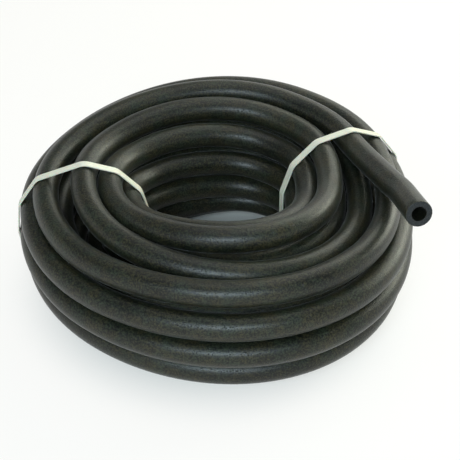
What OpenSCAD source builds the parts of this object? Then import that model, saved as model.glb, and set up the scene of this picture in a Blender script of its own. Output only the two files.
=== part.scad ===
// A soaker hose: one length of thick-walled porous rubber tube, wound by hand and held by two ties.
// The hose winds seven turns round an empty core, climbs out over the front and winds twelve and a half
// more over the first ones. Its last turn ends on top of the coil at the right, and the cut end points
// forward.
// Millimetres. +Z is up, the coil lies on z = 0 round the Z axis, and -Y is its front.

/* [Hose] */
// Outer diameter of the hose
hose_d = 22; // [20:0.5:22.5]
// Bore of the hose
bore_d = 12; // [8:0.5:15]
// Distance between the centres of neighbouring turns
pitch = 22.8; // [22.8:0.1:23.5]

/* [Coil] */
// Radius of the ring round which the turns are wound
coil_r = 118; // [114:1:126]
// Height of the straight sides of the bundle's cross-section
side_h = 13.7; // [10:0.1:16]
// Share by which the bundle swells midway between the ties
swell = 0.1; // [0:0.01:0.12]

/* [Ends] */
// Length of the cut end that points forward
free_end_l = 24; // [16:1:30]
// Length of the cut end inside the bundle
buried_end_l = 13; // [8:1:16]

/* [Ties] */
// Width of a tie's strap
strap_w = 7.2; // [4.8:0.1:7.6]
// Thickness of a tie's strap
strap_t = 1.2; // [0.9:0.1:1.5]
// Length of a tie's head along the strap
head_l = 7.6; // [6:0.1:9]
// Height of a tie's head over the strap
head_h = 5; // [4:0.1:6]
// Wall of a tie's head beside its slot
head_wall = 1.5; // [1:0.1:2]

/* [Hidden] */

// The two shells of turns. A turn's place on its shell is a length along the shell's cross-section.
inner_turns = 7;
outer_turns = 13;
shell_play = 0.5;
inner_r = pitch - shell_play;
outer_r = 2 * pitch;
inner_step = (2 * PI * inner_r + 2 * side_h) / inner_turns;
outer_step = (2 * PI * outer_r + 2 * side_h) / outer_turns;

// Directions round the Z axis, in degrees. The hose travels clockwise seen from above.
climb_end = 180;
climb_span = 170;
top_angle = 93;
twist = 11;
twist_at = 70;
left_tie_at = 185;
right_tie_at = 20;

// The outer turns are drawn together near the ties, about this turn. What that leaves open lies beside
// the first of them, where the climbing turn comes out. At the left tie they also sit further inward.
gather_about = 3;
left_gather = 1;
left_gather_span = 80;
left_shift = 3;
right_gather = 0.5;
right_gather_at = -10;
right_gather_span = 70;

// The ring is a little out of round.
oval = 1;
oval_at = 60;
lobe = 4;
lobe_at = 57;

// Where the hose lies on the ground it is cut flat by a tenth of its diameter. It lifts over the ties.
hose_r = hose_d / 2;
flat = hose_d / 10;
settle = 0.7;
tie_lift_span = 40;

// Rings of the tube stand at fixed directions, so that neighbouring turns bend alike.
rings_per_turn = 24;
sides = 6;
first_turn = -7 + 85 / 360;
last_turn = 12 + 160 / 360;
coil_rings = round((last_turn - first_turn) * rings_per_turn);

// The two stretches that aren't coiled, from the coil outward. Each ends in a straight of one diameter.
// The hidden one leaves at the back and the free one at the right, so they keep to the ring's radius there.
buried_run = [[-17, coil_r - 16, 94], [-23.5, coil_r - 18, 94], [-30, coil_r - 20.5, 94.5],
              [-50.5, coil_r - 29.5, 95]];
free_run = [[coil_r + 3.5, 25, 118.5], [coil_r + 10, 6, 120.5], [coil_r + 16.5, -14, 123.5],
            [coil_r + 23.5, -36, 127], [coil_r + 30, -56, 130.5], [coil_r + 33.5, -77, 135]];

// Fits of the ties.
strap_clear = 0.5;
ground_clear = 0.2;
tie_lift = flat + strap_clear + strap_t + ground_clear;
slot_clear = 0.2;
tail_stub = 1.6;
left_head_dir = 200;
right_head_dir = -12;
tooth_pitch = 1.1;
tooth_h = 0.35;
pawl_w = 4;
pawl_drop = 0.6;
pawl_h = 2;
pawl_root = 0.3;
bevel = 0.8;

// The ring's centre, which puts the middle of the whole part's box on the Z axis.
ring_at = [4.6, 1.2, 0];

// Colours.
rubber = [0.17, 0.17, 0.16];
nylon = [0.92, 0.92, 0.86];

// ---- Small helpers ----
function ease(t) = let (u = min(1, max(0, t))) u * u * (3 - 2 * u);
function wrap(a) = a - 360 * floor(a / 360);
function unit(v) = v / norm(v);
function near(az, at, span) = let (d = wrap(az - at)) 1 - ease(min(d, 360 - d) / span);

// A point on a shell's cross-section, two half rounds joined by straight sides, as [outward, up].
// s runs from the middle of the outer side over the top.
function shell_point(s, r) =
    let (round_l = PI * r, all = 2 * round_l + 2 * side_h, u = s - all * floor(s / all), half = side_h / 2)
    u < half ? [r, u] :
    u < half + round_l ?
        let (a = (u - half) / r * 180 / PI) [r * cos(a), half + r * sin(a)] :
    u < 3 * half + round_l ? [-r, half - (u - half - round_l)] :
    u < 3 * half + 2 * round_l ?
        let (a = 180 + (u - 3 * half - round_l) / r * 180 / PI) [r * cos(a), -half + r * sin(a)] :
    [r, u - all];

// The centre of the hose after v turns: the inner shell below 0, the outer shell from 0 on.
function coil_point(v) =
    let (
        az = climb_end - 360 * v,
        at_left = near(az, left_tie_at, left_gather_span),
        at_right = near(az, right_gather_at, right_gather_span),
        turned = twist * cos(az - twist_at) + left_shift * at_left,
        drawn = (left_gather * at_left + right_gather * at_right) * (v - gather_about),
        start = top_angle * PI / 180,
        outer_s = side_h / 2 + start * outer_r + outer_step * v + turned - drawn,
        inner_s = side_h / 2 + start * inner_r + inner_step * v + turned / 2,
        climbed = v >= 0 ? 1 : ease(1 + v * 360 / climb_span),
        place = (1 - climbed) * shell_point(inner_s, inner_r) + climbed * shell_point(outer_s, outer_r),
        scale_up = 1 + swell * (1 - cos(2 * az - (left_tie_at - 180 + right_tie_at))) / 2,
        ground = hose_r - flat,
        low = ground + scale_up * (outer_r + side_h / 2 + place[1]) - settle,
        lift = tie_lift * (near(az, left_tie_at, tie_lift_span) + near(az, right_tie_at, tie_lift_span)),
        out_of_round = oval * cos(2 * (az - oval_at)) + lobe * cos(3 * (az - lobe_at)),
        r = coil_r + out_of_round + scale_up * place[0]
    )
    [r * cos(az), r * sin(az), max(ground, low) + lift];

coil_path = [for (i = [0 : coil_rings]) coil_point(first_turn + i / rings_per_turn)];
path = concat([for (i = [len(buried_run) - 1 : -1 : 0]) buried_run[i]], coil_path, free_run);

// ---- The least gap of the hose to itself, and its length, measured on points and printed ----
// own_points are the points next to a run's start, which are the same stretch of hose.
checks_per_turn = 72;
window = 2;
own_points = 20;
check_n = round((last_turn - first_turn) * checks_per_turn);
check_path = [for (i = [0 : check_n]) coil_point(first_turn + i / checks_per_turn)];
function to_line(p, a, b) =
    let (t = min(1, max(0, (p - a) * (b - a) / ((b - a) * (b - a))))) norm(p - a - t * (b - a));
function turn_gap(i) = min([for (j = [i + checks_per_turn : checks_per_turn : check_n + window])
    for (k = [max(0, j - window) : min(check_n - 1, j + window)])
        to_line(check_path[i], check_path[k], check_path[k + 1])]);
function run_gap(run, from_i, to_i) = min([for (p = run) for (k = [from_i : to_i - 1])
    to_line(p, check_path[k], check_path[k + 1])]);
coil_gap = min([for (i = [0 : check_n - checks_per_turn]) turn_gap(i)]) - hose_d;
free_gap = run_gap(free_run, 0, check_n - own_points) - hose_d;
buried_gap = run_gap(buried_run, own_points, check_n) - hose_d;
function total(list) = list * [for (x = list) 1];
function run_length(run) = total([for (i = [1 : len(run) - 1]) norm(run[i] - run[i - 1])]);
hose_length = free_end_l + buried_end_l + run_length(check_path) +
    run_length(concat([coil_path[0]], buried_run)) + run_length(concat([coil_path[coil_rings]], free_run));
echo(least_gap_mm = min(coil_gap, free_gap, buried_gap), coil_gap_mm = coil_gap,
     free_end_gap_mm = free_gap, buried_end_gap_mm = buried_gap, hose_length_mm = hose_length);

// ---- The tube: six-sided rings swept along the path, cut flat where they meet the ground ----
function heading(i) = unit(path[min(i + 1, len(path) - 1)] - path[max(i - 1, 0)]);
function ring(i) =
    let (dir = heading(i), side = unit(cross(dir, [0, 0, 1])), up = cross(side, dir))
    [for (k = [0 : sides - 1])
        let (a = 360 * k / sides, p = path[i] + hose_r * (cos(a) * side + sin(a) * up))
        [p[0], p[1], max(0, p[2])]];

module swept_tube() {
    rings = len(path);
    last = (rings - 1) * sides;
    corners = [for (i = [0 : rings - 1]) each ring(i)];
    walls = [for (i = [0 : rings - 2]) for (k = [0 : sides - 1])
        let (a = i * sides + k, b = i * sides + (k + 1) % sides)
        each [[a, b, b + sides], [a, b + sides, a + sides]]];
    caps = [for (k = [1 : sides - 2]) each [[0, k + 1, k], [last, last + k, last + k + 1]]];
    polyhedron(points = corners, faces = concat(walls, caps));
}

// A straight cut end of true hose, from a point along a direction.
module cut_end(at, dir, length) {
    tilt = acos(dir[2]);
    turn = atan2(dir[1], dir[0]);
    translate(at) rotate([0, tilt, turn]) difference() {
        cylinder(h = length, d = hose_d, $fn = 96);
        translate([0, 0, -1]) cylinder(h = length + 2, d = bore_d, $fn = 72);
    }
}

// ---- Ties ----
// Where the hose passes through the upright plane beside a direction, as [outward, up].
function crossings(az, beside) =
    let (across = [-sin(az), cos(az), 0], outward = [cos(az), sin(az), 0])
    [for (i = [1 : len(path) - 1])
        let (a = path[i - 1], b = path[i], da = a * across - beside, db = b * across - beside)
        if (da * db <= 0 && a * outward > 0)
            let (p = a + (b - a) * da / (da - db)) [p * outward, p[2]]];
function reach(p, dir) = p[0] * cos(dir) + p[1] * sin(dir);
function furthest(list, dir) =
    let (most = max([for (p = list) reach(p, dir)])) [for (p = list) if (reach(p, dir) == most) p][0];

module bundle_outline(list, out) {
    hull() {
        for (p = list) translate(p) circle(r = hose_r + out, $fn = 48);
    }
}

module strap(list) {
    linear_extrude(strap_w, center = true) difference() {
        bundle_outline(list, strap_clear + strap_t);
        bundle_outline(list, strap_clear);
    }
}

// The head lies on the strap's outer face. The strap's end comes up through the slot and is cut short.
module head() {
    head_w = strap_w + 2 * slot_clear + 2 * head_wall;
    slot_l = strap_t + tooth_h + 2 * slot_clear;
    translate([0, 0, -strap_t / 2]) linear_extrude(head_h + strap_t / 2) difference() {
        polygon([[-head_l / 2 + bevel, -head_w / 2], [head_l / 2 - bevel, -head_w / 2],
                 [head_l / 2, -head_w / 2 + bevel], [head_l / 2, head_w / 2 - bevel],
                 [head_l / 2 - bevel, head_w / 2], [-head_l / 2 + bevel, head_w / 2],
                 [-head_l / 2, head_w / 2 - bevel], [-head_l / 2, -head_w / 2 + bevel]]);
        square([slot_l, strap_w + 2 * slot_clear], center = true);
    }
    tail(slot_l);
    pawl(slot_l);
}

module tail(slot_l) {
    tail_h = head_h + tail_stub;
    teeth = floor(tail_h / tooth_pitch);
    translate([-slot_l / 2 + slot_clear, strap_w / 2, 0]) rotate([90, 0, 0]) linear_extrude(strap_w)
        polygon(concat([[0, tail_h], [0, -strap_t / 2]],
            [for (i = [0 : teeth - 1]) each [[strap_t + tooth_h, i * tooth_pitch],
                                             [strap_t, (i + 1) * tooth_pitch]]],
            [[strap_t, tail_h]]));
}

// The pawl slants down from the slot's wall to the strap's teeth.
module pawl(slot_l) {
    top = head_h - pawl_drop;
    translate([0, pawl_w / 2, 0]) rotate([90, 0, 0]) linear_extrude(pawl_w)
        polygon([[slot_l / 2 + pawl_root, top], [slot_l / 2 + pawl_root, top - pawl_h],
                 [strap_t / 2 + slot_clear, top - pawl_root]]);
}

// The strap clears the strands at both of its edges, because they bend and drift under it.
module tie(az, head_dir) {
    list = [for (beside = [-strap_w / 2, 0, strap_w / 2]) each crossings(az, beside)];
    p = furthest(list, head_dir);
    off = hose_r + strap_clear + strap_t;
    rotate([0, 0, az]) rotate([90, 0, 0]) {
        strap(list);
        translate([p[0] + off * cos(head_dir), p[1] + off * sin(head_dir), 0])
            rotate([0, 0, head_dir - 90]) rotate([-90, 0, 0]) head();
    }
}

// ---- Nodes ----
module hose_coil() {
    color(rubber) translate(ring_at) swept_tube();
}

module free_end() {
    end = len(path) - 1;
    color(rubber) translate(ring_at) cut_end(path[end], heading(end), free_end_l);
}

module buried_end() {
    color(rubber) translate(ring_at) cut_end(path[0], -heading(0), buried_end_l);
}

module left_tie() {
    color(nylon) translate(ring_at) tie(left_tie_at, left_head_dir);
}

module right_tie() {
    color(nylon) translate(ring_at) tie(right_tie_at, right_head_dir);
}

hose_coil();
free_end();
buried_end();
left_tie();
right_tie();
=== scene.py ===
# %% [markdown]
# # A soaker hose, coiled and tied
#
# The real thing is one long piece of thick-walled porous rubber tube. It is wound by hand into a round
# coil, and two flat nylon ties hold the bundle. This lesson dresses the fixed CAD frame of that coil. It
# repeats the frame's sizes and its winding rule, and adds the smooth tube with its bore, the finishes and
# the mouldings of the ties. Everything is in metres, in the frame's own axes: +Z is up and -Y is the front.

# %% Tools and the fixed frame
import math

import bmesh
import bpy
from mathutils import Matrix, Vector


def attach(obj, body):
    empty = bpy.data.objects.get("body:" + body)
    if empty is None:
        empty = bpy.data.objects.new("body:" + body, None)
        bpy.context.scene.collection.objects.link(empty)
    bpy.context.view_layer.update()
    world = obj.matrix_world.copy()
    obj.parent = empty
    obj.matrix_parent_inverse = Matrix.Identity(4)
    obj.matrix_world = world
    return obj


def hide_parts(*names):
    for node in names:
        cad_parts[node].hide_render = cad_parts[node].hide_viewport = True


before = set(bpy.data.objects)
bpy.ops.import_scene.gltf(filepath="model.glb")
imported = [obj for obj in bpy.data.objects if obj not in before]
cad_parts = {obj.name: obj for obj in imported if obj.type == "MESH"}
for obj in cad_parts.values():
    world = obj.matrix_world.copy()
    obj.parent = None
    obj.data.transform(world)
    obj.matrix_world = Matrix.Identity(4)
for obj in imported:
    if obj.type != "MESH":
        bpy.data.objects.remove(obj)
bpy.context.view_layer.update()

# %% [markdown]
# ## The camera
#
# A camera can be placed by eye, or worked out from where it must stand. Here it looks down on the coil
# from the front, about one metre away, with a long lens so that the far turns aren't much smaller than
# the near ones. It aims a little to the right of the coil, which leaves more room beside the free end.

# %% Camera, which looks at the middle of the coil's ring
RING_AT = Vector((0.0046, 0.0012, 0.0))
AIM_HEIGHT = 0.05
AIM_ASIDE = 0.0081
CAMERA_ELEVATION = math.radians(37.0)
CAMERA_DISTANCE = 1.0
CAMERA_LENS = 86.6

back = Vector((0.0, -math.cos(CAMERA_ELEVATION), math.sin(CAMERA_ELEVATION)))
eye = RING_AT + Vector((0.0, 0.0, AIM_HEIGHT)) + back * CAMERA_DISTANCE
aim = RING_AT + Vector((AIM_ASIDE, 0.0, AIM_HEIGHT))
camera = bpy.data.objects.new("camera", bpy.data.cameras.new("camera"))
camera.data.lens = CAMERA_LENS
camera.location = eye
camera.rotation_euler = (aim - eye).to_track_quat("-Z", "Y").to_euler()
bpy.context.scene.collection.objects.link(camera)
bpy.context.scene.camera = camera
print("camera at", [round(x, 3) for x in eye])

# %% [markdown]
# ## Where the hose runs
#
# Someone winding a hose lays turn beside turn. The first seven turns lie round an empty core and make an
# inner shell. The hose then climbs out and lays twelve and a half more turns over the first ones, as an
# outer shell. Both shells have the same cross-section: two half rounds joined by straight sides. A turn's
# place is a length along that cross-section, which grows with every turn, so the rule is one formula.
# Drawing the coil by hand would take hundreds of points, and a formula keeps the turns a diameter apart.

# %% Sizes of the hose and of its coil
HOSE_D = 0.022
BORE_D = 0.012
HOSE_R = HOSE_D / 2
PITCH = 0.0228
COIL_R = 0.118
SIDE_H = 0.0137
SWELL = 0.1

INNER_TURNS = 7
OUTER_TURNS = 13
SHELL_PLAY = 0.0005
INNER_R = PITCH - SHELL_PLAY
OUTER_R = 2 * PITCH
INNER_STEP = (2 * math.pi * INNER_R + 2 * SIDE_H) / INNER_TURNS
OUTER_STEP = (2 * math.pi * OUTER_R + 2 * SIDE_H) / OUTER_TURNS
print("from turn to turn:", round(INNER_STEP, 4), "m inside,", round(OUTER_STEP, 4), "m outside")

# %% Directions round the Z axis, in degrees, and the small shifts that make it look wound by hand
CLIMB_END = 180.0
CLIMB_SPAN = 170.0
TOP_ANGLE = 93.0
TWIST = 0.011
TWIST_AT = 70.0
LEFT_TIE_AT = 185.0
RIGHT_TIE_AT = 20.0
GATHER_ABOUT = 3.0
LEFT_GATHER = 0.001
LEFT_GATHER_SPAN = 80.0
LEFT_SHIFT = 0.003
RIGHT_GATHER = 0.0005
RIGHT_GATHER_AT = -10.0
RIGHT_GATHER_SPAN = 70.0
OVAL = 0.001
OVAL_AT = 60.0
LOBE = 0.004
LOBE_AT = 57.0
FIRST_TURN = -7 + 85 / 360
LAST_TURN = 12 + 160 / 360

# %% How the hose meets the ground, and the ties under it
STRAP_W = 0.0072
STRAP_T = 0.0012
STRAP_CLEAR = 0.0005
GROUND_CLEAR = 0.0002
FLAT = HOSE_D / 10
SETTLE = 0.0007
TIE_LIFT = FLAT + STRAP_CLEAR + STRAP_T + GROUND_CLEAR
TIE_LIFT_SPAN = 40.0
print("the ties lift the lowest turns by", round(TIE_LIFT, 4), "m")


# %% Small helpers for angles and soft starts
def cos_d(angle):
    return math.cos(math.radians(angle))


def sin_d(angle):
    return math.sin(math.radians(angle))


def ease(t):
    u = min(1.0, max(0.0, t))
    return u * u * (3 - 2 * u)


def near(az, at, span):
    apart = (az - at) % 360
    return 1 - ease(min(apart, 360 - apart) / span)


# %% A point on a shell's cross-section, from a length s along it, as (outward, up)
def shell_point(s, r):
    round_l = math.pi * r
    whole = 2 * round_l + 2 * SIDE_H
    half = SIDE_H / 2
    u = s % whole
    if u < half:
        return r, u
    if u < half + round_l:
        a = (u - half) / r
        return r * math.cos(a), half + r * math.sin(a)
    if u < 3 * half + round_l:
        return -r, half - (u - half - round_l)
    if u < 3 * half + 2 * round_l:
        a = math.pi + (u - 3 * half - round_l) / r
        return r * math.cos(a), -half + r * math.sin(a)
    return r, u - whole


# %% The middle of the hose after v turns: the inner shell below 0, the outer shell from 0 on
def coil_point(v):
    az = CLIMB_END - 360 * v
    at_left = near(az, LEFT_TIE_AT, LEFT_GATHER_SPAN)
    at_right = near(az, RIGHT_GATHER_AT, RIGHT_GATHER_SPAN)
    turned = TWIST * cos_d(az - TWIST_AT) + LEFT_SHIFT * at_left
    drawn = (LEFT_GATHER * at_left + RIGHT_GATHER * at_right) * (v - GATHER_ABOUT)
    start = math.radians(TOP_ANGLE)
    outer_s = SIDE_H / 2 + start * OUTER_R + OUTER_STEP * v + turned - drawn
    inner_s = SIDE_H / 2 + start * INNER_R + INNER_STEP * v + turned / 2
    climbed = 1.0 if v >= 0 else ease(1 + v * 360 / CLIMB_SPAN)
    inner = Vector(shell_point(inner_s, INNER_R))
    outer = Vector(shell_point(outer_s, OUTER_R))
    place = inner.lerp(outer, climbed)
    scale_up = 1 + SWELL * (1 - cos_d(2 * az - (LEFT_TIE_AT - 180 + RIGHT_TIE_AT))) / 2
    ground = HOSE_R - FLAT
    low = ground + scale_up * (OUTER_R + SIDE_H / 2 + place.y) - SETTLE
    lift = TIE_LIFT * (near(az, LEFT_TIE_AT, TIE_LIFT_SPAN) + near(az, RIGHT_TIE_AT, TIE_LIFT_SPAN))
    out_of_round = OVAL * cos_d(2 * (az - OVAL_AT)) + LOBE * cos_d(3 * (az - LOBE_AT))
    r = COIL_R + out_of_round + scale_up * place.x
    return Vector((r * cos_d(az), r * sin_d(az), max(ground, low) + lift))


# %% [markdown]
# ## The two ends
#
# The first end stays hidden inside the bundle. The last turn ends on top of the coil and its cut end
# points forward. Neither follows the winding rule, so each is a short list of given points, with a
# smooth curve drawn through them. A Catmull-Rom curve passes through its points, which a Bezier's
# handles would not do without more numbers.

# %% Points of the ends, from the coil outward, and the straight cut stubs
FREE_END_L = 0.024
BURIED_END_L = 0.013
BURIED_RUN = [Vector(p) for p in (
    (-0.017, COIL_R - 0.016, 0.094), (-0.0235, COIL_R - 0.018, 0.094),
    (-0.030, COIL_R - 0.0205, 0.0945), (-0.0505, COIL_R - 0.0295, 0.095))]
FREE_RUN = [Vector(p) for p in (
    (COIL_R + 0.0035, 0.025, 0.1185), (COIL_R + 0.010, 0.006, 0.1205), (COIL_R + 0.0165, -0.014, 0.1235),
    (COIL_R + 0.0235, -0.036, 0.127), (COIL_R + 0.030, -0.056, 0.1305), (COIL_R + 0.0335, -0.077, 0.135))]


def through(points, steps):
    """A smooth curve through all points but the first and last, which only lead it in and out."""
    curve = []
    for a, b, c, d in zip(points, points[1:], points[2:], points[3:]):
        for i in range(steps):
            t = i / steps
            curve.append(0.5 * (2 * b + (c - a) * t + (2 * a - 5 * b + 4 * c - d) * t * t
                                + (3 * b - a - 3 * c + d) * t ** 3))
    return curve


# %% One line from the hidden end to the free end
POINTS_PER_TURN = 360
LEAD_TURN = 1 / 24
RUN_STEPS = 12


def end_line(run, turn, back_turn, stub):
    """A curve from the coil at a turn, through a run's points, to the tip of its cut end."""
    tip = run[-1] + (run[-1] - run[-2]).normalized() * stub
    beyond = 2 * tip - run[-1]
    return through([coil_point(back_turn), coil_point(turn), *run, tip, beyond], RUN_STEPS) + [tip]


turns = round((LAST_TURN - FIRST_TURN) * POINTS_PER_TURN)
wound = [coil_point(FIRST_TURN + i / POINTS_PER_TURN) for i in range(1, turns)]
hidden = end_line(BURIED_RUN, FIRST_TURN, FIRST_TURN + LEAD_TURN, BURIED_END_L)
free = end_line(FREE_RUN, LAST_TURN, LAST_TURN - LEAD_TURN, FREE_END_L)
rough_line = [p + RING_AT for p in [*reversed(hidden), *wound, *free]]


# %% Points at one even distance along a line
def evenly(line, spacing):
    lengths = [(b - a).length for a, b in zip(line, line[1:])]
    count = round(sum(lengths) / spacing)
    step = sum(lengths) / count
    points = [line[0].copy()]
    walked = 0.0
    for a, b, length in zip(line, line[1:], lengths):
        while len(points) * step <= walked + length and len(points) < count:
            points.append(a.lerp(b, (len(points) * step - walked) / length))
        walked += length
    return [*points, line[-1].copy()], sum(lengths)


RING_SPACING = 0.0062
hose_line, hose_length = evenly(rough_line, RING_SPACING)
print("hose:", round(hose_length, 3), "m in", len(hose_line), "rings")

# %% [markdown]
# ## Writing shader maths
#
# A material is a graph of nodes. Wiring dozens of Math nodes by hand hides the idea, so a small class
# wraps a socket and lets it be added, multiplied and taken from a number. One function makes every other
# node: it sets the node's own choices first, then its sockets.


# %% Nodes from a type, its settings and its sockets
def add_node(tree, kind, settings=None, sockets=None):
    node = tree.nodes.new(kind)
    for name, value in (settings or {}).items():
        setattr(node, name, value)
    for key, value in (sockets or {}).items():
        if isinstance(value, (Wire, bpy.types.NodeSocket)):
            tree.links.new(getattr(value, "socket", value), node.inputs[key])
        else:
            node.inputs[key].default_value = value
    return node


# %% A socket that can be used like a number
class Wire:
    def __init__(self, tree, socket):
        self.tree = tree
        self.socket = socket

    def maths(self, operation, first, second):
        node = add_node(self.tree, "ShaderNodeMath", {"operation": operation}, {0: first, 1: second})
        return Wire(self.tree, node.outputs[0])

    def __add__(self, other):
        return self.maths("ADD", self, other)

    def __radd__(self, other):
        return self.maths("ADD", other, self)

    def __rsub__(self, other):
        return self.maths("SUBTRACT", other, self)

    def __mul__(self, other):
        return self.maths("MULTIPLY", self, other)


# %% Patterns that more than one finish uses
def new_material(name):
    material = bpy.data.materials.new(name)
    material.use_nodes = True
    material.node_tree.nodes.clear()
    return material, material.node_tree


def object_place(tree):
    return Wire(tree, add_node(tree, "ShaderNodeTexCoord").outputs["Object"])


def noise(tree, place, size, detail=2.0, roughness=0.5):
    """Soft blotches about this many metres across, from 0 to 1."""
    node = add_node(tree, "ShaderNodeTexNoise", None,
                    {"Vector": place, "Scale": 1 / size, "Detail": detail, "Roughness": roughness})
    return Wire(tree, node.outputs["Fac"])


def spots(tree, place, size, stops):
    """Round spots about this many metres apart, shaped by a ramp over the distance from their middles."""
    cells = add_node(tree, "ShaderNodeTexVoronoi", None, {"Vector": place, "Scale": 1 / size})
    return ramp(tree, Wire(tree, cells.outputs["Distance"]), stops)


def ramp(tree, value, stops):
    """A run from one grey to another, given as two stops, each a position and a grey."""
    node = add_node(tree, "ShaderNodeValToRGB", None, {"Fac": value})
    for element, (position, grey) in zip(node.color_ramp.elements, stops):
        element.position = position
        element.color = (grey, grey, grey, 1.0)
    return Wire(tree, node.outputs["Color"])


def mix_colour(tree, share, first, second):
    node = add_node(tree, "ShaderNodeMix", {"data_type": "RGBA"},
                    {"Factor": share, 6: (*first, 1.0) if isinstance(first, tuple) else first,
                     7: (*second, 1.0) if isinstance(second, tuple) else second})
    return Wire(tree, node.outputs[2])


def bumped(tree, height, depth):
    node = add_node(tree, "ShaderNodeBump", None, {"Height": height, "Distance": depth, "Strength": 1.0})
    return Wire(tree, node.outputs["Normal"])


def surface(tree, sockets):
    shader = add_node(tree, "ShaderNodeBsdfPrincipled", None, sockets)
    add_node(tree, "ShaderNodeOutputMaterial", None, {"Surface": shader.outputs["BSDF"]})


# %% [markdown]
# ## The rubber
#
# Soaker hose is pressed from ground-up tyre rubber. Its skin is matt charcoal, finely grained and pitted
# all over, with a dusty bloom that is stronger on some stretches than on others. The grain and the pits
# are too small to model, so they are bump. The bloom follows the hose's own length, which the tube carries
# as an attribute, so that neighbouring turns differ as they do on a real coil. A second attribute marks the
# bore, where there is hardly any dust.

# %% The rubber's colours, the sizes of its patterns, and where each pattern starts and ends
RUBBER_DARK = (0.0020, 0.0028, 0.0022)
RUBBER_DUSTY = (0.029, 0.037, 0.022)
RUBBER_BROWN = (0.040, 0.036, 0.017)
BLOOM_SIZE = 0.06
BLOOM_DRIFT = 0.5
BLOOM_SHARE = 0.2
BROWN_SIZE = 0.012
BROWN_EDGE = [(0.4, 0.0), (0.6, 1.0)]
GRAIN_SIZE = 0.0015
DUST_EDGE = [(0.43, 0.0), (0.59, 1.0)]
PIT_SIZE = 0.0019
PIT_EDGE = [(0.10, 0.0), (0.32, 1.0)]
PIT_DEPTH = 0.0003
BORE_CLEAN = 0.8
RUBBER_ROUGH = 0.31
ROUGH_BY_GRAIN = 0.12
ROUGH_BY_BLOOM = 0.04


# %% Porous rubber
def porous_rubber():
    material, tree = new_material("porous_rubber")
    place = object_place(tree)
    along = add_node(tree, "ShaderNodeAttribute", {"attribute_name": "along"}).outputs["Fac"]
    bloom_node = add_node(tree, "ShaderNodeTexNoise", {"noise_dimensions": "4D"},
                          {"Vector": place, "W": Wire(tree, along) * BLOOM_DRIFT, "Scale": 1 / BLOOM_SIZE,
                           "Detail": 3.0})
    bloom = Wire(tree, bloom_node.outputs["Fac"])
    grain = noise(tree, place, GRAIN_SIZE, detail=3.0, roughness=0.7)
    pits = spots(tree, place, PIT_SIZE, PIT_EDGE)
    dust = ramp(tree, bloom * BLOOM_SHARE + grain * (1 - BLOOM_SHARE), DUST_EDGE)
    brown = ramp(tree, noise(tree, place, BROWN_SIZE, detail=3.0, roughness=0.6), BROWN_EDGE)
    skin = mix_colour(tree, dust, RUBBER_DARK, mix_colour(tree, brown, RUBBER_DUSTY, RUBBER_BROWN))
    inside = Wire(tree, add_node(tree, "ShaderNodeAttribute", {"attribute_name": "inside"}).outputs["Fac"])
    colour = mix_colour(tree, pits * (1 - inside * BORE_CLEAN), RUBBER_DARK, skin)
    surface(tree, {"Base Color": colour,
                   "Roughness": RUBBER_ROUGH + grain * ROUGH_BY_GRAIN + bloom * ROUGH_BY_BLOOM,
                   "Normal": bumped(tree, pits * 0.5 + grain * 0.5, PIT_DEPTH),
                   "Specular IOR Level": 0.36, "Sheen Weight": 0.08, "Sheen Roughness": 0.25})
    return material


# %% The same rubber where it was cut through
CUT_COLOUR = (0.036, 0.042, 0.044)
CUT_ROUGH = 0.7
CRUMB_SIZE = 0.0011
CRUMB_EDGE = [(0.15, 1.0), (0.60, 0.0)]


def cut_rubber():
    material, tree = new_material("cut_rubber")
    place = object_place(tree)
    crumbs = spots(tree, place, CRUMB_SIZE, CRUMB_EDGE)
    grain = noise(tree, place, GRAIN_SIZE, detail=3.0, roughness=0.6)
    colour = mix_colour(tree, crumbs * 0.5 + grain * 0.5, RUBBER_DARK, CUT_COLOUR)
    surface(tree, {"Base Color": colour, "Roughness": CUT_ROUGH + grain * 0.2,
                   "Normal": bumped(tree, crumbs + grain, PIT_DEPTH)})
    return material


# %% [markdown]
# ## The nylon
#
# Natural nylon is a milky ivory plastic. Light enters it and scatters, which a little subsurface weight
# gives, and its moulded skin has faint flow lines and fine scratches.

# %% Ivory nylon, and all three finishes
NYLON_PALE = (0.80, 0.785, 0.65)
NYLON_SHADE = (0.68, 0.665, 0.52)
NYLON_ROUGH = 0.28
FLOW_SIZE = 0.004
SCRATCH_SIZE = 0.0004
SCRATCH_DEPTH = 0.00002


def ivory_nylon():
    material, tree = new_material("ivory_nylon")
    place = object_place(tree)
    flow = noise(tree, place, FLOW_SIZE)
    scratches = noise(tree, place, SCRATCH_SIZE, roughness=0.6)
    colour = mix_colour(tree, flow, NYLON_SHADE, NYLON_PALE)
    surface(tree, {"Base Color": colour, "Roughness": NYLON_ROUGH + scratches * 0.2,
                   "Normal": bumped(tree, scratches, SCRATCH_DEPTH), "Subsurface Weight": 0.15,
                   "Subsurface Scale": 0.001})
    return material


RUBBER = porous_rubber()
CUT_FACE = cut_rubber()
NYLON = ivory_nylon()
print("finishes:", RUBBER.name, CUT_FACE.name, NYLON.name)

# %% [markdown]
# ## Making a tube along a line
#
# The tube could be a curve object with a bevel, but a bevel has no bore and no place to press the hose
# flat on the ground. A Geometry Nodes tree does both: it sweeps a round outline along the line for the
# outside, sweeps a smaller one for the bore, and lifts every point that falls below the ground. The rings'
# distance along the hose is kept as an attribute for the rubber's bloom, and another marks the bore, which
# no dust reaches.


# %% A node tree with named inputs
def new_tree(name, inputs):
    tree = bpy.data.node_groups.new(name, "GeometryNodeTree")
    tree.interface.new_socket("Geometry", in_out="INPUT", socket_type="NodeSocketGeometry")
    for label, kind in inputs:
        tree.interface.new_socket(label, in_out="INPUT", socket_type=kind)
    tree.interface.new_socket("Geometry", in_out="OUTPUT", socket_type="NodeSocketGeometry")
    given = tree.nodes.new("NodeGroupInput")
    return tree, given.outputs


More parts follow.
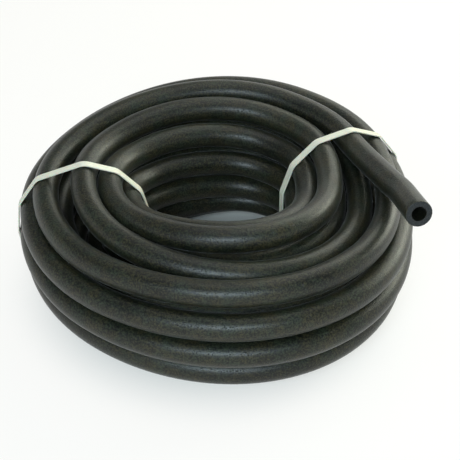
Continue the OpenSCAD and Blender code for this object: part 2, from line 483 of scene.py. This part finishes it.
def end_tree(tree, geometry, material):
    """Every tree ends alike: instances become real faces and get their finish."""
    real = add_node(tree, "GeometryNodeRealizeInstances", None, {"Geometry": geometry})
    dressed = add_node(tree, "GeometryNodeSetMaterial", None,
                       {"Geometry": real.outputs["Geometry"], "Material": material})
    add_node(tree, "NodeGroupOutput", None, {"Geometry": dressed.outputs["Geometry"]})


def grow(obj, tree, values):
    """Runs a tree on an object with these inputs, and keeps the result as a plain mesh."""
    modifier = obj.modifiers.new(tree.name, "NODES")
    modifier.node_group = tree
    for item in tree.interface.items_tree:
        if item.name in values:
            modifier[item.identifier] = values[item.name]
    found = obj.evaluated_get(bpy.context.evaluated_depsgraph_get())
    mesh = bpy.data.meshes.new_from_object(found)
    obj.modifiers.clear()
    obj.data = mesh
    return obj


def line_object(name, points, closed=False):
    mesh = bpy.data.meshes.new(name)
    edges = [(i, i + 1) for i in range(len(points) - 1)]
    if closed:
        edges.append((len(points) - 1, 0))
    mesh.from_pydata(points, edges, [])
    obj = bpy.data.objects.new(name, mesh)
    bpy.context.scene.collection.objects.link(obj)
    return obj


# %% The tree that sweeps the wall of the hose
def swept(tree, line, radius, sides):
    ring = add_node(tree, "GeometryNodeCurvePrimitiveCircle", None,
                    {"Resolution": sides, "Radius": radius})
    wall = add_node(tree, "GeometryNodeCurveToMesh", None,
                    {"Curve": line, "Profile Curve": ring.outputs["Curve"]})
    return wall.outputs["Mesh"]


def hose_wall_tree():
    tree, given = new_tree("hose_wall", [
        ("Outer radius", "NodeSocketFloat"), ("Bore radius", "NodeSocketFloat"),
        ("Sides", "NodeSocketInt"), ("Bore spacing", "NodeSocketFloat"),
        ("Material", "NodeSocketMaterial")])
    line = add_node(tree, "GeometryNodeMeshToCurve", None, {"Mesh": given["Geometry"]})
    length = add_node(tree, "GeometryNodeSplineParameter").outputs["Length"]
    marked = add_node(tree, "GeometryNodeStoreNamedAttribute", {"data_type": "FLOAT", "domain": "POINT"},
                      {"Geometry": line.outputs["Curve"], "Name": "along", "Value": length})
    outside = swept(tree, marked.outputs["Geometry"], given["Outer radius"], given["Sides"])
    sparse = add_node(tree, "GeometryNodeResampleCurve", {"mode": "LENGTH"},
                      {"Curve": marked.outputs["Geometry"], "Length": given["Bore spacing"]})
    bore = swept(tree, sparse.outputs["Curve"], given["Bore radius"], given["Sides"])
    inner = add_node(tree, "GeometryNodeStoreNamedAttribute", {"data_type": "FLOAT", "domain": "POINT"},
                     {"Geometry": bore, "Name": "inside", "Value": 1.0})
    inside = add_node(tree, "GeometryNodeFlipFaces", None, {"Mesh": inner.outputs["Geometry"]})
    both = add_node(tree, "GeometryNodeJoinGeometry")
    tree.links.new(outside, both.inputs["Geometry"])
    tree.links.new(inside.outputs["Mesh"], both.inputs["Geometry"])
    place = add_node(tree, "GeometryNodeInputPosition").outputs["Position"]
    parts = add_node(tree, "ShaderNodeSeparateXYZ", None, {"Vector": place})
    height = add_node(tree, "ShaderNodeMath", {"operation": "MAXIMUM"}, {0: parts.outputs["Z"], 1: 0.0})
    lifted = add_node(tree, "ShaderNodeCombineXYZ", None,
                      {"X": parts.outputs["X"], "Y": parts.outputs["Y"], "Z": height.outputs[0]})
    grounded = add_node(tree, "GeometryNodeSetPosition", None,
                        {"Geometry": both.outputs["Geometry"], "Position": lifted.outputs["Vector"]})
    end_tree(tree, grounded.outputs["Geometry"], given["Material"])
    return tree


# %% The hose's wall, outside and bore
HOSE_SIDES = 24
BORE_SPACING = 2 * RING_SPACING
hose = grow(line_object("hose", hose_line), hose_wall_tree(), {
    "Outer radius": HOSE_R, "Bore radius": BORE_D / 2, "Sides": HOSE_SIDES,
    "Bore spacing": BORE_SPACING, "Material": RUBBER})
print("hose wall:", len(hose.data.polygons), "faces")

# %% [markdown]
# ## The cut ends
#
# A hose cut with a knife has a flat ring for a face, with corners that are only just broken. The two open
# rims at each end are joined by a ring of faces, and both rims get a small bevel, which catches the light.

# %% Close each end with a cut face
CUT_BEVEL = 0.0004
CUT_BEVEL_STEPS = 2
MERGE_WITHIN = 1e-6


def cut_through(obj, tips, finish):
    wall = obj.data.materials.find(RUBBER.name)
    obj.data.materials.append(finish)
    shell = bmesh.new()
    shell.from_mesh(obj.data)
    bmesh.ops.remove_doubles(shell, verts=shell.verts, dist=MERGE_WITHIN)
    for tip in tips:
        here = [edge for edge in shell.edges
                if edge.is_boundary and (edge.verts[0].co - tip).length < HOSE_D]
        face_ring = bmesh.ops.bridge_loops(shell, edges=here)["faces"]
        for face in face_ring:
            face.material_index = len(obj.data.materials) - 1
        bmesh.ops.bevel(shell, geom=here, offset=CUT_BEVEL, segments=CUT_BEVEL_STEPS,
                        affect="EDGES", profile=0.5, material=wall)
    for face in shell.faces:
        face.smooth = face.material_index == wall
    bmesh.ops.recalc_face_normals(shell, faces=shell.faces)
    shell.to_mesh(obj.data)
    shell.free()


cut_through(hose, (hose_line[0], hose_line[-1]), CUT_FACE)
print("closed hose:", sum(len(face.vertices) - 2 for face in hose.data.polygons), "triangles")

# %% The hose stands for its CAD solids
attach(hose, "root")
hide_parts("hose_coil", "free_end", "buried_end")

# %% [markdown]
# ## The ties
#
# Each tie is one nylon moulding: a thin strap with teeth on its inner face, and a head with a slot through
# which the strap's own end is pulled and held by a small pawl. The strap goes straight from strand to
# strand, so its outline is the hull of the circles that the strands make where they pass the tie.


# %% Where the strands pass a tie, and the hull round them
def crossings(az, beside):
    outward = Vector((cos_d(az), sin_d(az), 0.0))
    across = Vector((-sin_d(az), cos_d(az), 0.0))
    found = []
    for a, b in zip(hose_line, hose_line[1:]):
        da = (a - RING_AT).dot(across) - beside
        db = (b - RING_AT).dot(across) - beside
        if da * db <= 0 and (a - RING_AT).dot(outward) > 0:
            p = a.lerp(b, da / (da - db)) - RING_AT
            found.append(Vector((p.dot(outward), p.z)))
    return found


def strands_at(az):
    """The middles of all strands under a tie, at both edges of the strap and at its middle."""
    return [p for beside in (-STRAP_W / 2, 0, STRAP_W / 2) for p in crossings(az, beside)]


def turns_left(a, b, c):
    return (b - a).cross(c - a) > 0


def hull(points):
    """The convex outline of points in a plane, anticlockwise."""
    ordered = sorted(points, key=lambda p: (p.x, p.y))
    outline = []
    for sweep in (ordered, ordered[::-1]):
        part = []
        for p in sweep:
            while len(part) > 1 and not turns_left(part[-2], part[-1], p):
                part.pop()
            part.append(p)
        outline += part[:-1]
    return outline


HULL_STEPS = 72


def strap_outline(az, out):
    """The line round the bundle at a direction, this far outside the strands, as (outward, up)."""
    circle = [Vector((math.cos(a), math.sin(a))) * (HOSE_R + out)
              for a in (2 * math.pi * i / HULL_STEPS for i in range(HULL_STEPS))]
    return hull([p + c for p in strands_at(az) for c in circle])


# %% From a tie's own plane to the frame
def tie_place(az):
    """Columns: outward, up and across. It puts a point of the tie's plane in its place in the frame."""
    turn = Matrix.Rotation(math.radians(az), 4, "Z")
    upright = Matrix(((1, 0, 0, 0), (0, 0, 1, 0), (0, 1, 0, 0), (0, 0, 0, 1)))
    return Matrix.Translation(RING_AT) @ turn @ upright


# %% The strap's section: rounded corners, a shallow groove outside and a recess for the teeth inside
CORNER = 0.0003
ROUND_MID = 0.3
GROOVE_W = 0.0016
GROOVE_D = 0.00015
RECESS_W = 0.0046
RECESS_D = 0.00025


def strap_section():
    """Points round the section. A rounded corner's middle point lies ROUND_MID of its size in."""
    w = STRAP_W / 2
    t = STRAP_T / 2
    half = [(0, t - GROOVE_D), (GROOVE_W / 2, t - GROOVE_D), (GROOVE_W / 2 + GROOVE_D, t)]
    half += [(w - CORNER, t), (w - CORNER * ROUND_MID, t - CORNER * ROUND_MID), (w, t - CORNER)]
    half += [(w, CORNER - t), (w - CORNER * ROUND_MID, CORNER * ROUND_MID - t), (w - CORNER, -t)]
    half += [(RECESS_W / 2 + RECESS_D, -t), (RECESS_W / 2, RECESS_D - t), (0, RECESS_D - t)]
    mirrored = [(-x, y) for x, y in half[-2:0:-1]]
    return [Vector((x, y)) for x, y in half + mirrored]


# %% Loft the strap's section round its outline
MITRE_MOST = 2.0


def join_loops(shell, a, b):
    """Faces between two closed loops with the same number of points."""
    for i in range(len(a)):
        j = (i + 1) % len(a)
        shell.faces.new((a[i], b[i], b[j], a[j]))


def strap_mesh(shell, az):
    line = strap_outline(az, STRAP_CLEAR + STRAP_T / 2)
    section = strap_section()
    rings = []
    for i, p in enumerate(line):
        first = (p - line[i - 1]).normalized()
        second = (line[(i + 1) % len(line)] - p).normalized()
        heading = (first + second).normalized()
        out = Vector((heading.y, -heading.x)) / max(1 / MITRE_MOST, heading.dot(second))
        rings.append([shell.verts.new((p.x + out.x * q.y, p.y + out.y * q.y, q.x)) for q in section])
    for a, b in zip(rings, [*rings[1:], rings[0]]):
        join_loops(shell, a, b)


# %% [markdown]
# ## The teeth
#
# A tie holds because its inner face carries a row of small teeth, which the pawl in the head catches. There
# are over three hundred on each strap, all alike and evenly spaced along it. That is what Geometry Nodes
# are for: the tree spaces points along the strap's line, puts a three-sided bar on each and turns it with
# the line.

# %% The tree that sets bars along a line
TOOTH_PITCH = 0.0011
TOOTH_H = 0.00035
TOOTH_SIDES = 3


def teeth_tree():
    tree, given = new_tree("teeth", [
        ("Pitch", "NodeSocketFloat"), ("Height", "NodeSocketFloat"), ("Width", "NodeSocketFloat"),
        ("Material", "NodeSocketMaterial")])
    line = add_node(tree, "GeometryNodeMeshToCurve", None, {"Mesh": given["Geometry"]})
    spaced = add_node(tree, "GeometryNodeResampleCurve", {"mode": "LENGTH"},
                      {"Curve": line.outputs["Curve"], "Length": given["Pitch"]})
    along = add_node(tree, "GeometryNodeInputTangent").outputs["Tangent"]
    turned = add_node(tree, "FunctionNodeAlignRotationToVector", {"axis": "Y", "pivot_axis": "Z"},
                      {"Vector": along})
    bar = add_node(tree, "GeometryNodeMeshCylinder", {"fill_type": "NGON"},
                   {"Vertices": TOOTH_SIDES, "Radius": given["Height"], "Depth": given["Width"]})
    placed = add_node(tree, "GeometryNodeInstanceOnPoints", None,
                      {"Points": spaced.outputs["Curve"], "Instance": bar.outputs["Mesh"],
                       "Rotation": turned.outputs["Rotation"]})
    end_tree(tree, placed.outputs["Instances"], given["Material"])
    return tree


TEETH = teeth_tree()


def strap_teeth(shell, az):
    """Teeth in the strap's recess, in the tie's own plane. Each bar points inward."""
    line = strap_outline(az, STRAP_CLEAR + RECESS_D)
    teeth = grow(line_object("teeth", [(p.x, p.y, 0.0) for p in line], closed=True), TEETH, {
        "Pitch": TOOTH_PITCH, "Height": TOOTH_H, "Width": RECESS_W, "Material": NYLON})
    shell.from_mesh(teeth.data)
    print("teeth:", len(teeth.data.polygons) // (TOOTH_SIDES + 2))
    bpy.data.objects.remove(teeth)


# %% [markdown]
# ## The head
#
# The head is a small rounded block with a slot right through it. It is built as a ring of loops: up the
# outside, over the top, down the slot and back underneath, so its corners can be rounded where a finger
# would feel them. The pawl and the strap's cut end are plain blocks with the right outline.

# %% Sizes of the head
HEAD_L = 0.0076
HEAD_H = 0.005
HEAD_WALL = 0.0015
HEAD_BEVEL = 0.0008
HEAD_ROUND = 0.0005
SLOT_CLEAR = 0.0002
TAIL_STUB = 0.0016
TAIL_SLANT = 0.6
TAIL_TOOTH_L = 0.9 * TOOTH_PITCH
PAWL_W = 0.004
PAWL_H = 0.002
PAWL_DROP = 0.0006
PAWL_ROOT = 0.0003
LEFT_HEAD_DIR = 200.0
RIGHT_HEAD_DIR = -12.0
SLOT_L = STRAP_T + TOOTH_H + 2 * SLOT_CLEAR
SLOT_W = STRAP_W + 2 * SLOT_CLEAR
HEAD_W = SLOT_W + 2 * HEAD_WALL
print("head:", HEAD_L, "x", round(HEAD_W, 4), "x", HEAD_H, "m")


# %% A rounded rectangle as a loop, and a block from an outline
def rounded_loop(length, width, corner, steps=4):
    loop = []
    for quarter, (sx, sy) in enumerate(((1, 1), (-1, 1), (-1, -1), (1, -1))):
        middle = Vector((sx * (length / 2 - corner), sy * (width / 2 - corner)))
        for i in range(steps + 1):
            a = math.pi / 2 * (quarter + i / steps)
            loop.append(middle + Vector((math.cos(a), math.sin(a))) * corner)
    return loop


def block(shell, outline, width, place):
    """A closed block: an outline in the head's side view, drawn across by a width."""
    sides = [[shell.verts.new(place @ Vector((p[0], across, p[1]))) for p in outline]
             for across in (-width / 2, width / 2)]
    shell.faces.new(sides[0])
    shell.faces.new(sides[1][::-1])
    join_loops(shell, *sides)


# %% The head with its slot, the pawl and the strap's cut end
def head_block(shell, place):
    foot = -STRAP_T / 2
    slant = HEAD_ROUND * ROUND_MID
    levels = [
        (foot, HEAD_L, HEAD_W, HEAD_BEVEL), (HEAD_H - HEAD_ROUND, HEAD_L, HEAD_W, HEAD_BEVEL),
        (HEAD_H - slant, HEAD_L - 2 * slant, HEAD_W - 2 * slant, HEAD_BEVEL),
        (HEAD_H, HEAD_L - 2 * HEAD_ROUND, HEAD_W - 2 * HEAD_ROUND, HEAD_BEVEL),
        (HEAD_H, SLOT_L + HEAD_ROUND, SLOT_W + HEAD_ROUND, SLOT_CLEAR),
        (HEAD_H - HEAD_ROUND / 2, SLOT_L, SLOT_W, SLOT_CLEAR), (foot, SLOT_L, SLOT_W, SLOT_CLEAR)]
    loops = [[shell.verts.new(place @ Vector((p.x, p.y, z))) for p in rounded_loop(length, width, corner)]
             for z, length, width, corner in levels]
    for a, b in zip(loops, [*loops[1:], loops[0]]):
        join_loops(shell, a, b)


def pawl_and_tail(shell, place):
    top = HEAD_H - PAWL_DROP
    block(shell, [(SLOT_L / 2 + PAWL_ROOT, top), (SLOT_L / 2 + PAWL_ROOT, top - PAWL_H),
                  (STRAP_T / 2 + SLOT_CLEAR, top - PAWL_ROOT)], PAWL_W, place)
    near_side = SLOT_CLEAR - SLOT_L / 2
    tail_h = HEAD_H + TAIL_STUB
    block(shell, [(near_side, -STRAP_T / 2), (near_side + STRAP_T, -STRAP_T / 2),
                  (near_side + STRAP_T, tail_h - CORNER), (near_side + STRAP_T * TAIL_SLANT, tail_h),
                  (near_side, tail_h - CORNER / 2)], STRAP_W, place)
    foot = near_side + STRAP_T - TOOTH_H / 2
    point = near_side + STRAP_T + TOOTH_H
    for i in range(int(tail_h / TOOTH_PITCH)):
        low = i * TOOTH_PITCH
        block(shell, [(foot, low), (point, low), (foot, low + TAIL_TOOTH_L)], RECESS_W, place)


# %% Where the head sits on the strap: columns are along, across and out, in the tie's own plane
def head_place(az, direction):
    normal = Vector((cos_d(direction), sin_d(direction)))
    furthest = max(strands_at(az), key=lambda p: p.dot(normal))
    foot = furthest + normal * (HOSE_R + STRAP_CLEAR + STRAP_T)
    return Matrix(((normal.y, 0, normal.x, foot.x), (-normal.x, 0, normal.y, foot.y),
                   (0, 1, 0, 0), (0, 0, 0, 1)))


# %% Build both ties
def make_tie(name, az, head_dir):
    shell = bmesh.new()
    strap_mesh(shell, az)
    strap_teeth(shell, az)
    place = head_place(az, head_dir)
    head_block(shell, place)
    pawl_and_tail(shell, place)
    shell.transform(tie_place(az))
    shell.normal_update()
    bmesh.ops.recalc_face_normals(shell, faces=shell.faces)
    for face in shell.faces:
        face.smooth = False
    mesh = bpy.data.meshes.new(name)
    shell.to_mesh(mesh)
    shell.free()
    mesh.materials.append(NYLON)
    tie = bpy.data.objects.new(name, mesh)
    bpy.context.scene.collection.objects.link(tie)
    print(name, len(mesh.polygons), "faces")
    return tie


for name, az, head_dir, node in (("left_strap", LEFT_TIE_AT, LEFT_HEAD_DIR, "left_tie"),
                                 ("right_strap", RIGHT_TIE_AT, RIGHT_HEAD_DIR, "right_tie")):
    tie = make_tie(name, az, head_dir)
    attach(tie, "root")
    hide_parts(node)

# %% [markdown]
# ## Floor and light
#
# A pale board and four soft lamps light the coil. The large lamp above lights the tops. The long one in
# front draws a highlight along the front strands, and the two warm ones behind do the same for the strands
# at the sides. The sky fills the shadows.
#
# Round the coil the board shows only the lamps' light, and so it keeps the coil's shadow. Further out it
# fades to plain white, and the sky is white where it meets the board. More light would whiten both, but it
# would wash out the black rubber too. A Light Path node avoids that: it tells the rays that are seen from
# the rays that only light the coil, and just the first kind finds the white.


# %% Telling the rays apart, and a smooth run between two numbers
def seen_ray(tree):
    """1 for what is seen, also in a reflection or through glass, and 0 for what only lights the coil."""
    ray = add_node(tree, "ShaderNodeLightPath")
    seen = Wire(tree, ray.outputs["Is Camera Ray"]) + ray.outputs["Is Glossy Ray"]
    return seen + ray.outputs["Is Transmission Ray"]


def smooth_run(tree, value, start, end, first, last):
    """Runs smoothly from the first number at the start to the last one at the end."""
    node = add_node(tree, "ShaderNodeMapRange", {"interpolation_type": "SMOOTHSTEP"},
                    {"Value": value, "From Min": start, "From Max": end, "To Min": first, "To Max": last})
    return Wire(tree, node.outputs["Result"])


# %% The board's finish
WHITE = (1.0, 1.0, 0.98, 1.0)
FLOOR_PALE = (0.93, 0.925, 0.87)
FLOOR_PALER = (0.95, 0.945, 0.90)
FLOOR_ROUGH = 0.6
MOTTLE_SIZE = 0.08
FADE_FROM = 0.09
FADE_TO = 0.20
FADE_MOST = 0.85


def white_board():
    material, tree = new_material("white_board")
    place = object_place(tree)
    mottle = noise(tree, place, MOTTLE_SIZE)
    board = add_node(tree, "ShaderNodeBsdfPrincipled", None,
                     {"Base Color": mix_colour(tree, mottle, FLOOR_PALE, FLOOR_PALER),
                      "Roughness": FLOOR_ROUGH + mottle * 0.1})
    white = add_node(tree, "ShaderNodeEmission", None, {"Color": WHITE, "Strength": 1.0})
    away = add_node(tree, "ShaderNodeVectorMath", {"operation": "LENGTH"}, {0: place})
    fade = smooth_run(tree, away.outputs["Value"], FADE_FROM, FADE_TO, 0.0, FADE_MOST)
    both = add_node(tree, "ShaderNodeMixShader", None,
                    {0: fade * seen_ray(tree), 1: board.outputs["BSDF"], 2: white.outputs["Emission"]})
    add_node(tree, "ShaderNodeOutputMaterial", None, {"Surface": both.outputs["Shader"]})
    return material


# %% Lay the board
FLOOR_SIZE = 60.0
half = FLOOR_SIZE / 2
corners = [(-half, -half, 0), (half, -half, 0), (half, half, 0), (-half, half, 0)]
mesh = bpy.data.meshes.new("floor")
mesh.from_pydata(corners, [], [(0, 1, 2, 3)])
mesh.materials.append(white_board())
floor = bpy.data.objects.new("floor", mesh)
bpy.context.scene.collection.objects.link(floor)
print("board:", FLOOR_SIZE, "m wide")

# %% Lamps
LAMPS_AIM = Vector((0, 0, 0.05))


def soft_lamp(name, at, size, power, colour):
    lamp = bpy.data.objects.new(name, bpy.data.lights.new(name, "AREA"))
    lamp.data.shape = "RECTANGLE"
    lamp.data.size, lamp.data.size_y = size
    lamp.data.energy = power
    lamp.data.color = colour
    lamp.location = at
    lamp.rotation_euler = (LAMPS_AIM - lamp.location).to_track_quat("-Z", "Y").to_euler()
    bpy.context.scene.collection.objects.link(lamp)
    print(name, power, "W")


soft_lamp("top_softbox", (0.1, 0.2, 1.5), (1.2, 1.0), 5.5, (0.98, 0.99, 1.0))
soft_lamp("front_softbox", (-0.16, -1.26, 0.98), (0.85, 0.28), 18.5, (0.74, 0.90, 1.0))
soft_lamp("back_softbox", (0.6, 1.15, 1.0), (0.9, 0.7), 7.5, (0.98, 1.0, 0.88))
soft_lamp("side_softbox", (1.25, 0.72, 0.6), (0.9, 0.7), 15.0, (0.97, 1.0, 0.84))

# %% The sky: dim above, and plain white where it meets the floor
SKY = (0.90, 0.96, 1.0, 1.0)
SKY_STRENGTH = 0.20
WHITE_BELOW = 0.2
DIM_ABOVE = 0.45


def studio_sky():
    world = bpy.data.worlds.new("studio")
    world.use_nodes = True
    tree = world.node_tree
    tree.nodes.clear()
    way = add_node(tree, "ShaderNodeTexCoord").outputs["Generated"]
    height = add_node(tree, "ShaderNodeSeparateXYZ", None, {"Vector": way}).outputs["Z"]
    low = smooth_run(tree, height, WHITE_BELOW, DIM_ABOVE, 1.0, 0.0)
    dim = add_node(tree, "ShaderNodeBackground", None, {"Color": SKY, "Strength": SKY_STRENGTH})
    white = add_node(tree, "ShaderNodeBackground", None, {"Color": WHITE, "Strength": 1.0})
    both = add_node(tree, "ShaderNodeMixShader", None,
                    {0: low * seen_ray(tree), 1: dim.outputs["Background"], 2: white.outputs["Background"]})
    add_node(tree, "ShaderNodeOutputWorld", None, {"Surface": both.outputs["Shader"]})
    return world


bpy.context.scene.world = studio_sky()
bpy.context.scene.view_settings.view_transform = "Standard"
print("sky:", bpy.context.scene.world.name)
